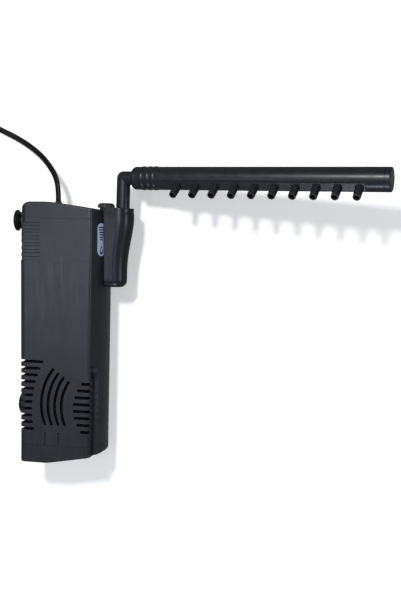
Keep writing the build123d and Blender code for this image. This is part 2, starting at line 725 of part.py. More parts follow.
def base_cap():
    high = CAP_SEAM_Y - 0.25
    points = [
        (-CANISTER_BACK_LOW - 1, BASE_Y), (-8, BASE_Y), (FRONT_DEPTH, BASE_FRONT_Y), (46, BASE_FRONT_Y + 2.2),
        (46, high), (-CANISTER_BACK_LOW - 1, high),
    ]
    wedge = across(side_profile(points, [4.5, 60.0]))
    low_section = canister_outline(CAP_SEAM_Y)
    cap = prism(low_section, BASE_Y - 2, high) & wedge
    bottom = [e for e in cap.edges() if e.center().Y < high - 5]
    cap = fillet([e for e in bottom if abs(e.center().Z - MID_Z) > 25], 1.2)
    points_in = [
        (-CANISTER_BACK_LOW - 1, BASE_Y + 2.4), (-8, BASE_Y + 2.4), (FRONT_DEPTH, BASE_FRONT_Y + 2.4),
        (46, BASE_FRONT_Y + 4.6), (46, 0), (-CANISTER_BACK_LOW - 1, 0),
    ]
    hollow = across(side_profile(points_in, [3.0, 60.0]))
    inner = canister_outline(CAP_SEAM_Y, 4.3, bulge=0.6)
    cap -= front_recess(BASE_Y - 3, 0)
    cap += prism(canister_outline(CAP_SEAM_Y, 2.5, bulge=0.6), high - 1, high + 6)
    return cap - (prism(inner, BASE_Y, high + 7) & hollow)


# ---- suction cups ----
def suction_cup(base_x, y, z):
    """Rubber cup: its base sits at base_x and its mouth faces the tank's wall, toward -X."""
    mouth = -CUP_LENGTH
    rim = mouth + 0.8
    section = Polyline(
        (2.4, 0), (2.4, 3.7), (1.6, 3.7), (1.6, CUP_STEM), (0, CUP_STEM), (0, 5.0), (-1.2, 5.0)
    )
    section += ThreePointArc((-1.2, 5.0), (-3.4, 7.9), (rim, CUP_RADIUS))
    section += Polyline((rim, CUP_RADIUS), (mouth, CUP_RADIUS), (mouth, CUP_RADIUS - 0.7))
    section += ThreePointArc((mouth, CUP_RADIUS - 0.7), (-4.2, 6.4), (-3.1, 1.5))
    section += Polyline((-3.1, 1.5), (-3.1, 0), (2.4, 0))
    cup = revolve(make_face(section), Axis.X)
    return Pos(base_x, y, z) * cup


def cup_bracket():
    """Plate on the head's dovetail that carries the two upper cups."""
    plate = block(CUP_BASE_X, -BACK_DEPTH - 0.25, 90, 124, 10, 54)
    plate = fillet(plate.edges().filter_by(Axis.X), 3)
    plate -= prism(rail_outline(0.12), 89, 111.3)
    for side in (-1, 1):
        z = MID_Z + side * UPPER_CUP_SPACING / 2
        plate -= cup_socket(UPPER_CUP_Y, z)
    return plate


# ---- mains cord ----
def cord_tube(name, route):
    """Tube of straight runs joined by arcs as large as their runs allow."""
    points = [Vector(*point) for point in route]
    radii = []
    for before, corner, after in zip(points, points[1:], points[2:]):
        turn = math.radians((corner - before).get_angle(after - corner))
        shorter = min((corner - before).length, (after - corner).length)
        radii.append(0.45 * shorter / math.tan(turn / 2))
    path = FilletPolyline(*points, radius=radii)
    start = Plane(origin=points[0], z_dir=points[1] - points[0])
    tube = sweep(start * Circle(CORD_DIAMETER / 2), path=path)
    section = math.pi * (CORD_DIAMETER / 2) ** 2
    print(name, "radii", [round(r, 1) for r in radii], "length", round(path.length, 1),
          "volume ratio", round(tube.volume / (section * path.length), 4))
    return tube


def cord_coil():
    """Outer shape of the neat coil that holds the rest of the cord."""
    coil = Pos(COIL_X, COIL_Y, (COIL_LOW_Z + COIL_HIGH_Z) / 2) * (
        Cylinder(COIL_OUTER, COIL_HIGH_Z - COIL_LOW_Z) - Cylinder(COIL_INNER, COIL_HIGH_Z - COIL_LOW_Z)
    )
    return fillet(coil.edges(), 2.0)


def cord_tie():
    """Band round the coil's turns."""
    thick = 0.8
    width = 11.0
    inner_edge = math.sqrt(COIL_INNER ** 2 - (width / 2) ** 2)
    low = COIL_Y - COIL_OUTER - thick - 0.1
    high = COIL_Y - inner_edge + thick + 0.1
    band = block(COIL_X - width / 2, COIL_X + width / 2, low, high, 0, COIL_HIGH_Z + thick + 0.1)
    hollow = block(
        COIL_X - width, COIL_X + width, low + thick, high - thick, COIL_LOW_Z - 0.1, COIL_HIGH_Z + 0.1
    )
    return band - hollow


def place_plug(shape):
    """Carry a piece from the plug's own axes, pins along -Y, to its place beside the coil."""
    return Pos(PLUG_X, PLUG_Y, PLUG_HEIGHT / 2) * shape.rotate(Axis.Z, PLUG_TURN)


def plug_body():
    """Flat two-pole plug: a wide face with pins and a body that narrows to the cord."""
    outline = make_face(Polyline(
        (-17.6, -22), (17.6, -22), (17.6, -14), (8.0, 2), (4.6, 12), (-4.6, 12), (-8.0, 2), (-17.6, -14),
        close=True,
    ))
    body = Plane.XY.offset(-PLUG_HEIGHT / 2) * outline
    body = extrude(body, amount=PLUG_HEIGHT)
    body = fillet(body.edges().filter_by(Axis.Z), 3.0)
    return place_plug(fillet(body.faces().sort_by(Axis.Z)[-1].edges(), 2.5))


def plug_pins():
    pins = []
    for side in (-1, 1):
        pin = rod(side * 9.3, 0, 2.0, -41, -22)
        pin = fillet(pin.faces().sort_by(Axis.Y)[0].edges(), 1.0)
        pins.append(place_plug(pin))
    return Compound(children=pins)


def main():
    os.makedirs("parts", exist_ok=True)
    half_spacing = UPPER_CUP_SPACING / 2
    parts = {
        "head_casing": head_casing(),
        "head_cover": head_cover(),
        "cable_gland": cable_gland(),
        "flow_label": flow_label(),
        "stator_core": stator_core(),
        "stator_coil": stator_coil(),
        "resin_fill": resin_fill(),
        "rotor_magnet": rotor_magnet(),
        "ceramic_shaft": ceramic_shaft(),
        "upper_bush": upper_bush(),
        "impeller": impeller(),
        "volute_cover": volute_cover(),
        "flow_spindle": flow_spindle(),
        "spindle_bush": spindle_bush(),
        "flow_dial": flow_dial(),
        "outlet_column": outlet_column(),
        "column_cap": column_cap(),
        "elbow_seal": elbow_seal(),
        "elbow": elbow(),
        "bar_collar": bar_collar(),
        "bar_seal": bar_seal(),
        "spray_bar": spray_bar(),
        "bar_end_cap": bar_end_cap(),
        "canister": canister(),
        "filter_sponge": filter_sponge(),
        "base_cap": base_cap(),
        "cup_bracket": cup_bracket(),
        "suction_cup_near": suction_cup(CUP_BASE_X, UPPER_CUP_Y, MID_Z + half_spacing),
        "suction_cup_far": suction_cup(CUP_BASE_X, UPPER_CUP_Y, MID_Z - half_spacing),
        "suction_cup_low": suction_cup(CUP_BASE_X, LOWER_CUP_Y, MID_Z),
        "mains_cord": cord_tube("mains_cord", CORD_ROUTE),
        "cord_coil": cord_coil(),
        "cord_tail": cord_tube("cord_tail", TAIL_ROUTE),
        "cord_tie": cord_tie(),
        "plug_body": plug_body(),
        "plug_pins": plug_pins(),
    }
    for name, shape in parts.items():
        export_step(shape, f"parts/{name}.step")


main()
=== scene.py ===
import math

import bmesh
import bpy
from mathutils import Matrix, Vector, noise


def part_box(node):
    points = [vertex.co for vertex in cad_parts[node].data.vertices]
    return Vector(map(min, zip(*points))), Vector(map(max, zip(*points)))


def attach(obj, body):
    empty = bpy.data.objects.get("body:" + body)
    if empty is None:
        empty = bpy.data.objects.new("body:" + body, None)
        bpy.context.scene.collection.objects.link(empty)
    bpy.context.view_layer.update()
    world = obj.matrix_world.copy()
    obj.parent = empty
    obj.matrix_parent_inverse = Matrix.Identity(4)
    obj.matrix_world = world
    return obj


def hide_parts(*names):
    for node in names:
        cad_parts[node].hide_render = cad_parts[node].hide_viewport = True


# Looks of an internal power filter that lies on its flat side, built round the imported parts.
# Metres, in the parts' own frame: +Z up, +X to the filter's front, +Y to the filter's top.

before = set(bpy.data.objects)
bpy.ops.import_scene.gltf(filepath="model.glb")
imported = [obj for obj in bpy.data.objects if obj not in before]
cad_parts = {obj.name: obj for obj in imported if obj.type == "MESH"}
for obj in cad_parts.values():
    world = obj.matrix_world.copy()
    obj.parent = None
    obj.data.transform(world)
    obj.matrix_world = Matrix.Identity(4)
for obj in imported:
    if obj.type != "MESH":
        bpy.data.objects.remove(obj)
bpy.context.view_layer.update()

MM = 0.001
UP = Vector((0, 0, 1))

# ---- camera ----
CAMERA_PLACE = Vector((0.31556, 0.0872, 0.86303))
CAMERA_TARGET = Vector((0.13443, 0.03397, 0.0))
CAMERA_TOP = Vector((-0.0308875, 0.99800485, -0.05506618))
CAMERA_LENS = 50.915
CAMERA_SENSOR = 36

# ---- cord ----
CORD_WIDTH = 5.8 * MM
CORD_THICKNESS = 3.6 * MM
CORD_ROUTE = [
    (-0.0104, 0.1335, 0.032),
    (-0.0104, 0.1447, 0.032),
    (-0.0143, 0.1585, 0.0289),
    (-0.0245, 0.1710, 0.0215),
    (-0.0385, 0.1838, 0.0125),
    (-0.0555, 0.1950, 0.0060),
    (-0.0725, 0.2043, 0.0034),
    (-0.0900, 0.2122, 0.00295),
    (-0.1060, 0.2204, 0.0036),
    (-0.1204, 0.2285, 0.0042),
]
TAIL_ROUTE = [
    (-0.1789, 0.1870, 0.0096),
    (-0.1784, 0.1720, 0.0086),
    (-0.1752, 0.1580, 0.0073),
    (-0.1702, 0.1454, 0.00685),
]

# The coil is wound inward in a low layer, then outward in a high one. Its angles are in degrees.
COIL_CENTRE = Vector((-0.137, 0.190, 0))
COIL_POINTS_PER_TURN = 14
COIL_START = 66.7
COIL_TURN = 2277.4
COIL_ENTRY_RADIUS = 41.9 * MM
COIL_OUTER_TURN = 39.0 * MM
COIL_INNER_TURN = 27.0 * MM
COIL_SETTLE = 40.0
COIL_CLIMB = 30.0
COIL_LOW_LAYER = 4.0 * MM
COIL_HIGH_LAYER = 9.85 * MM

# The cord's wide side is a little tilted where it leaves the gland, flat on the floor, and on edge
# in the coil: the tilt in degrees, then the lengths over which the cord turns.
EXIT_TILT = 14
EXIT_TILT_START = 4 * MM
EXIT_TILT_END = 75 * MM
TURN_BEFORE_COIL = 55 * MM
TURN_INTO_COIL = 10 * MM
TURN_AT_PLUG = 12 * MM

# The plug's middle, and how far it is turned, in degrees.
PLUG_PLACE = Vector((-0.1664, 0.134, 0.00685))
PLUG_TURN = 18.5

# The plug's outline, in millimetres: place along the plug, half width, half height, corner radius.
PLUG_FACE = [
    (-22.0, 15.8, 5.0, 3.0), (-21.6, 17.0, 6.2, 3.2), (-20.6, 17.5, 6.8, 3.4),
    (-14.5, 17.5, 6.8, 3.6), (-12.6, 16.6, 6.7, 3.8),
]
PLUG_NECK = [
    (3.6, 6.9, 5.4, 3.4), (8.0, 5.0, 4.4, 2.8), (11.0, 4.4, 3.9, 2.4), (12.0, 4.0, 3.4, 2.2),
]

# Its grip ridges, in millimetres: where the first one starts, how far apart they are, the half width
# at the first one, and how much narrower each next one is. RIDGE_SHAPE runs from a groove over the
# crest to the next groove: place, change of half width, half height.
RIDGE_COUNT = 5
RIDGE_START = -11.4
RIDGE_PITCH = 2.7
RIDGE_WIDTH = 15.2
RIDGE_NARROWING = 1.75
RIDGE_CORNER = 3.8
RIDGE_SHAPE = [(0.0, 0.0, 5.9), (0.5, 0.75, 6.6), (1.5, 0.25, 6.6), (2.0, -0.9, 5.9)]

# The sleeve on the cord behind the plug.
RELIEF_LENGTH = 24 * MM
RELIEF_PITCH = 3.4 * MM

# ---- suction cups: distance from the base toward the stem's head, and radius, in millimetres ----
CUP_PROFILE = [
    (2.4, 0.4), (2.4, 2.7), (2.1, 3.6), (1.7, 3.6), (1.5, 2.5), (0.1, 2.5), (0.0, 3.2), (0.0, 4.6),
    (-0.3, 5.0), (-1.1, 5.1), (-1.7, 5.7), (-2.8, 7.3), (-4.3, 9.0), (-5.8, 10.3), (-6.4, 10.95),
    (-6.8, 11.0), (-7.0, 10.6), (-6.8, 10.1), (-5.9, 8.9), (-4.9, 7.2), (-4.0, 4.6), (-3.4, 1.8),
    (-3.3, 0.3),
]
CUP_HEAD = CUP_PROFILE[0][0] * MM

# ---- foam: the pores' size and depth, the mesh's spacing, the block's corners and its bore ----
FOAM_PORE = 2.6 * MM
FOAM_DEPTH = 0.9 * MM
FOAM_CELL = 1.35 * MM
FOAM_CORNER = 4 * MM
FOAM_BORE_X = 4 * MM
FOAM_BORE_RADIUS = 9.2 * MM
FOAM_BORE_END = -70 * MM
FOAM_COLUMNS = 176
FOAM_CAP_ROWS = 20

# ---- plastics' own colours ----
HOUSING = (0.0140, 0.0155, 0.0200)
OUTLET = (0.0105, 0.0118, 0.0155)
PIPE = (0.0115, 0.0125, 0.0155)

# ---- studio ----
FLOOR_GLOW = 0.25
FLOOR_GLOW_COLOUR = (1.0, 0.97, 0.89, 1.0)
SKY_STRENGTH = 0.20

# Each light: name, place, target, size, power, colour, and whether it casts shadows.
LIGHTS = [
    ("key", (-0.06, 0.70, 1.35), (0.08, 0.05, 0.03), 0.17, 14.5, (1.0, 1.0, 1.0), True),
    ("sheen", (-0.46, 0.01, 1.26), (0.0, 0.05, 0.06), 0.18, 0.9, (0.76, 0.85, 1.0), True),
    ("glint", (0.10, -0.95, 0.42), (0.10, 0.05, 0.04), 0.25, 4.0, (0.82, 0.89, 1.0), False),
    ("front", (0.16, 0.17, 1.20), (0.06, 0.10, 0.05), 0.10, 1.8, (0.80, 0.86, 1.0), False),
    ("edge", (0.95, 0.10, 0.42), (0.04, 0.04, 0.04), 0.22, 1.2, (0.85, 0.90, 1.0), True),
]


def make_camera():
    """Camera above the filter, with its own top direction, since it isn't level."""
    data = bpy.data.cameras.new("camera")
    data.lens = CAMERA_LENS
    data.sensor_width = CAMERA_SENSOR
    camera = bpy.data.objects.new("camera", data)
    bpy.context.scene.collection.objects.link(camera)
    back = (CAMERA_PLACE - CAMERA_TARGET).normalized()
    right = CAMERA_TOP.cross(back).normalized()
    top = back.cross(right)
    turn = Matrix((right, top, back)).transposed().to_4x4()
    camera.matrix_world = Matrix.Translation(CAMERA_PLACE) @ turn
    bpy.context.scene.camera = camera


# ---- mesh helpers ----
def mesh_object(name, points, faces, smooth):
    """Mesh with its faces turned outward, linked to the scene."""
    mesh = bpy.data.meshes.new(name)
    mesh.from_pydata([tuple(p) for p in points], [], faces)
    mesh.validate()
    work = bmesh.new()
    work.from_mesh(mesh)
    bmesh.ops.recalc_face_normals(work, faces=work.faces)
    work.to_mesh(mesh)
    work.free()
    if smooth:
        mesh.shade_smooth()
    piece = bpy.data.objects.new(name, mesh)
    bpy.context.scene.collection.objects.link(piece)
    return piece


def skin(name, rings, smooth=True):
    """Closed surface through rings of equally many points."""
    count = len(rings[0])
    points = [p for ring in rings for p in ring]
    faces = []
    for row in range(len(rings) - 1):
        for i in range(count):
            j = (i + 1) % count
            a, b = row * count, (row + 1) * count
            faces.append((a + i, a + j, b + j, b + i))
    last = (len(rings) - 1) * count
    faces.append(tuple(reversed(range(count))))
    faces.append(tuple(range(last, last + count)))
    return mesh_object(name, points, faces, smooth)


def lathe(name, profile, origin, axis, side, steps):
    """Turned piece: profile holds (distance along the axis, radius), from one end to the other."""
    origin, axis, side = Vector(origin), Vector(axis), Vector(side)
    other = axis.cross(side)
    rings = []
    for along, radius in profile:
        ring = []
        for step in range(steps):
            angle = 2 * math.pi * step / steps
            out = side * math.cos(angle) + other * math.sin(angle)
            ring.append(origin + axis * along + out * radius)
        rings.append(ring)
    return skin(name, rings)


def subdivide(piece, levels):
    modifier = piece.modifiers.new("subdivision", "SUBSURF")
    modifier.levels = levels
    modifier.render_levels = levels


def straight_ramp(low, high, value):
    """From 0 at low to 1 at high, in a straight line."""
    return min(max((value - low) / (high - low), 0.0), 1.0)


def smoothstep(low, high, value):
    """From 0 at low to 1 at high, with soft ends."""
    t = straight_ramp(low, high, value)
    return t * t * (3 - 2 * t)


def lengths_along(path):
    """Length of the path up to each of its points."""
    gone = [0.0]
    for before, after in zip(path, path[1:]):
        gone.append(gone[-1] + (after - before).length)
    return gone


# ---- mains cord ----
def coil_points():
    """Control points of the coil: one layer wound inward, then one on it wound outward."""
    shrink = math.cos(math.pi / COIL_POINTS_PER_TURN)
    step = 360 / COIL_POINTS_PER_TURN
    count = round(COIL_TURN / step)
    half = COIL_TURN / 2
    points = []
    for index in range(1, count):
        turned = COIL_TURN * index / count
        from_end = min(turned, COIL_TURN - turned)
        spiral = straight_ramp(COIL_SETTLE, half - COIL_CLIMB, from_end)
        radius = COIL_OUTER_TURN + (COIL_INNER_TURN - COIL_OUTER_TURN) * spiral
        loose = 1 - smoothstep(0, COIL_SETTLE, from_end)
        radius += (COIL_ENTRY_RADIUS - COIL_OUTER_TURN) * loose
        high = smoothstep(half - COIL_CLIMB, half + COIL_CLIMB, turned)
        height = COIL_LOW_LAYER + (COIL_HIGH_LAYER - COIL_LOW_LAYER) * high
        angle = math.radians(COIL_START + turned)
        out = Vector((math.cos(angle), math.sin(angle), 0)) * (radius / shrink)
        points.append(COIL_CENTRE + out + UP * height)
    return points


def spline_points(name, controls, resolution):
    """Points along one smooth NURBS curve with these control points."""
    curve = bpy.data.curves.new(name, "CURVE")
    curve.dimensions = "3D"
    curve.resolution_u = resolution
    spline = curve.splines.new("NURBS")
    spline.points.add(len(controls) - 1)
    for point, place in zip(spline.points, controls):
        point.co = (*place, 1)
    spline.order_u = 3
    spline.use_endpoint_u = True
    holder = bpy.data.objects.new(name, curve)
    mesh = bpy.data.meshes.new_from_object(holder)
    points = [v.co.copy() for v in mesh.vertices]
    bpy.data.objects.remove(holder)
    return points


def twin_section(width, thickness):
    """Outline of two round cores side by side, with a groove between them."""
    steps = 11
    groove = 0.12
    radius = thickness / 2
    shift = width / 2 - radius
    reach = math.acos(-shift / radius) - groove
    outline = []
    for side in (1, -1):
        for step in range(steps):
            angle = -reach + 2 * reach * step / (steps - 1)
            wide = side * (shift + radius * math.cos(angle))
            outline.append((wide, side * radius * math.sin(angle)))
    return outline


def cord_twist(gone, total, coil_start, coil_end):
    """Angle between the cord's wide side and the floor: flat on the floor, on edge in the coil."""
    at_exit = math.radians(EXIT_TILT) * (1 - smoothstep(EXIT_TILT_START, EXIT_TILT_END, gone))
    on_edge = smoothstep(coil_start - TURN_BEFORE_COIL, coil_start + TURN_INTO_COIL, gone)
    on_edge -= smoothstep(coil_end - TURN_INTO_COIL, total - TURN_AT_PLUG, gone)
    return at_exit + math.radians(90) * on_edge


def make_cord():
    """Flat cord with two cores, from the gland through the coil to the plug, in one piece."""
    tail = [Vector(p) for p in TAIL_ROUTE]
    controls = [Vector(p) for p in CORD_ROUTE] + coil_points() + tail
    path = spline_points("cord_line", controls, 8)
    gone = lengths_along(path)
    coil_start = next(g for g, p in zip(gone, path) if p.x < CORD_ROUTE[-1][0])
    coil_end = gone[-1] - lengths_along(tail)[-1]
    section = twin_section(CORD_WIDTH, CORD_THICKNESS)
    rings = []
    for index, place in enumerate(path):
        ahead = path[min(index + 1, len(path) - 1)]
        behind = path[max(index - 1, 0)]
        along = (ahead - behind).normalized()
        level = along.cross(UP).normalized()
        above = level.cross(along)
        twist = cord_twist(gone[index], gone[-1], coil_start, coil_end)
        wide = level * math.cos(twist) + above * math.sin(twist)
        thin = above * math.cos(twist) - level * math.sin(twist)
        rings.append([place + wide * a + thin * b for a, b in section])
    cord = skin("mains_cord_flat", rings)
    cord.data.materials.append(cord_sheath())
    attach(cord, "pump_head")
    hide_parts("mains_cord", "cord_coil", "cord_tail")
    return cord, path


def plug_axes():
    """Directions across the plug's width and along it, toward the cord."""
    turn = math.radians(PLUG_TURN)
    across = Vector((math.cos(turn), math.sin(turn), 0))
    along = Vector((-math.sin(turn), math.cos(turn), 0))
    return across, along


def rounded_ring(centre, across, up, half_width, half_height, corner):
    """Rounded rectangle as one ring of points."""
    steps = 6
    largest_share = 0.98
    corner = min(corner, half_width * largest_share, half_height * largest_share)
    ring = []
    for quadrant in range(4):
        sx = (1, -1, -1, 1)[quadrant]
        sy = (1, 1, -1, -1)[quadrant]
        for step in range(steps):
            angle = math.radians(90 * quadrant + 90 * step / (steps - 1))
            a = sx * (half_width - corner) + corner * math.cos(angle)
            b = sy * (half_height - corner) + corner * math.sin(angle)
            ring.append(centre + across * a + up * b)
    return ring


def make_plug():
    """Moulded plug: a wide face and a body with grip ridges that narrows to the cord."""
    across, along = plug_axes()
    stations = list(PLUG_FACE)
    for ridge in range(RIDGE_COUNT):
        start = RIDGE_START + ridge * RIDGE_PITCH
        narrow = RIDGE_WIDTH - ridge * RIDGE_NARROWING
        for ahead, wider, height in RIDGE_SHAPE:
            stations.append((start + ahead, narrow + wider, height, RIDGE_CORNER))
    stations += PLUG_NECK
    rings = [
        rounded_ring(PLUG_PLACE + along * (y * MM), across, UP, width * MM, height * MM, corner * MM)
        for y, width, height, corner in stations
    ]
    plug = skin("plug_moulding", rings)
    plug.data.materials.append(plug_plastic())
    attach(plug, "pump_head")
    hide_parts("plug_body")
    return plug


def make_plug_relief(path):
    """Tapered sleeve with ring grooves where the cord enters the plug, thinnest at its tip."""
    tip_half_width = 3.35
    tip_half_height = 2.35
    widening = 0.8
    thickening = 1.1
    groove_depth = 0.28
    roundness = 0.96
    gone = 0.0
    rings = []
    for index in range(len(path) - 1, 0, -1):
        step = path[index] - path[index - 1]
        along = step.normalized()
        level = along.cross(UP).normalized()
        above = level.cross(along)
        taper = 1 - gone / RELIEF_LENGTH
        groove = groove_depth * (1 - math.cos(2 * math.pi * gone / RELIEF_PITCH))
        wide = (tip_half_width + widening * taper - groove) * MM
        thick = (tip_half_height + thickening * taper - groove) * MM
        corner = min(wide, thick) * roundness
        rings.append(rounded_ring(path[index], level, above, wide, thick, corner))
        gone += step.length
        if gone > RELIEF_LENGTH:
            break
    relief = skin("plug_relief", rings)
    relief.data.materials.append(plug_plastic())
    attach(relief, "pump_head")
    return relief


def loop_point(share, half_y, half_z, corner):
    """Point on a rounded rectangle, from the middle of its top and back again."""
    straight_y = half_y - corner
    straight_z = half_z - corner
    arc = corner * math.pi / 2
    lengths = [
        straight_y, arc, 2 * straight_z, arc, 2 * straight_y, arc, 2 * straight_z, arc, straight_y,
    ]
    left = share * sum(lengths)
    heading = Vector((1, 0))
    place = Vector((0, half_z))
    for index, length in enumerate(lengths):
        part = min(left, length)
        if index % 2 == 0:
            place = place + heading * part
        else:
            angle = part / corner
            inward = Vector((heading.y, -heading.x))
            hub = place + inward * corner
            spoke = place - hub
            turned = Vector((
                spoke.x * math.cos(angle) + spoke.y * math.sin(angle),
                spoke.y * math.cos(angle) - spoke.x * math.sin(angle),
            ))
            place = hub + turned
            heading = Vector((
                heading.x * math.cos(angle) + heading.y * math.sin(angle),
                heading.y * math.cos(angle) - heading.x * math.sin(angle),
            ))
        left -= part
        if left <= 0:
            break
    return place


def make_tie():
    """Hook-and-loop band wrapped round the coil's turns, with its end lapped over."""
    low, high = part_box("cord_tie")
    centre = (low + high) / 2
    thickness = 0.7 * MM
    corner = 3.2 * MM
    half_width = (high.x - low.x) / 2
    half_y = (high.y - low.y) / 2 - thickness
    half_z = (high.z - low.z) / 2 - thickness
    steps = 96
    lap_steps = 14
    lap_start = 6
    lap_lift = 0.62
    layer_share = 0.95
    rings = []
    for step in range(steps + lap_steps):
        share = (step / steps) % 1
        loop = loop_point(share, half_y, half_z, corner)
        out = loop_point(share, half_y + thickness, half_z + thickness, corner + thickness) - loop
        lift = lap_lift * smoothstep(steps - lap_start, steps, step)
        inner = loop + out * lift
        outer = loop + out * (lift + layer_share)
        ring = []
        for side, layer in ((-1, inner), (1, inner), (1, outer), (-1, outer)):
            ring.append(centre + Vector((side * half_width, layer.x, layer.y)))
        rings.append(ring)
    band = skin("coil_tie", rings, smooth=False)
    band.data.materials.append(tie_cloth())
    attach(band, "pump_head")
    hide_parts("cord_tie")
    return band


# ---- suction cups and foam ----
def make_cup(node, body):
    """Rubber suction cup with a thin flared rim, turned about the node's own middle."""
    low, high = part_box(node)
    origin = Vector((high.x - CUP_HEAD, (low.y + high.y) / 2, (low.z + high.z) / 2))
    profile = [(-along * MM, radius * MM) for along, radius in CUP_PROFILE]
    cup = lathe(f"{node}_rubber", profile, origin, (-1, 0, 0), (0, 1, 0), steps=28)
    subdivide(cup, levels=2)
    cup.data.materials.append(cup_rubber())
    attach(cup, body)
    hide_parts(node)


def foam_rings():
    """Rings of a rounded block with a bore down its middle, from the block's end to the bore's end."""
    low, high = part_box("filter_sponge")
    centre = (low + high) / 2
    half_x = (high.x - low.x) / 2 - FOAM_DEPTH
    half_z = (high.z - low.z) / 2 - FOAM_DEPTH

    def outer(share, y):
        place = loop_point(share, half_x, half_z, FOAM_CORNER)
        return Vector((centre.x + place.x, y, centre.z + place.y))

    def bore(share, y, radius):
        angle = 2 * math.pi * share
        x = FOAM_BORE_X + radius * math.sin(angle)
        return Vector((x, y, centre.z + radius * math.cos(angle)))

    shares = [column / FOAM_COLUMNS for column in range(FOAM_COLUMNS)]
    cap_shares = [row / FOAM_CAP_ROWS for row in range(1, FOAM_CAP_ROWS)]
    start = low.y + FOAM_DEPTH
    end = high.y - FOAM_DEPTH
    rings = []
    for cap in cap_shares:
        rings.append([bore(s, start, 0).lerp(outer(s, start), cap) for s in shares])
    rows = round((end - start) / FOAM_CELL)
    for row in range(rows + 1):
        y = start + (end - start) * row / rows
        rings.append([outer(s, y) for s in shares])
    for cap in cap_shares:
        rings.append([outer(s, end).lerp(bore(s, end, FOAM_BORE_RADIUS), cap) for s in shares])
    rows = round((end - FOAM_BORE_END) / (2 * FOAM_CELL))
    for row in range(rows + 1):
        y = end + (FOAM_BORE_END - end) * row / rows
        rings.append([bore(s, y, FOAM_BORE_RADIUS) for s in shares])
    return rings


def make_foam():
    """Open-cell foam: every point sinks into the nearest pore or stands on a strand between pores."""
    strand_edge = 0.05
    pore_floor = 0.5
    mean_height = 0.45
    foam = skin("foam_block", foam_rings())
    mesh = foam.data
    normals = [v.normal.copy() for v in mesh.vertices]
    for vertex, normal in zip(mesh.vertices, normals):
        distances = noise.voronoi(vertex.co / FOAM_PORE)[0]
        raised = 1 - smoothstep(strand_edge, pore_floor, distances[1] - distances[0])
        vertex.co += normal * FOAM_DEPTH * (raised - mean_height)
    foam.data.materials.append(foam_cells())
    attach(foam, "sponge")
    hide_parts("filter_sponge")


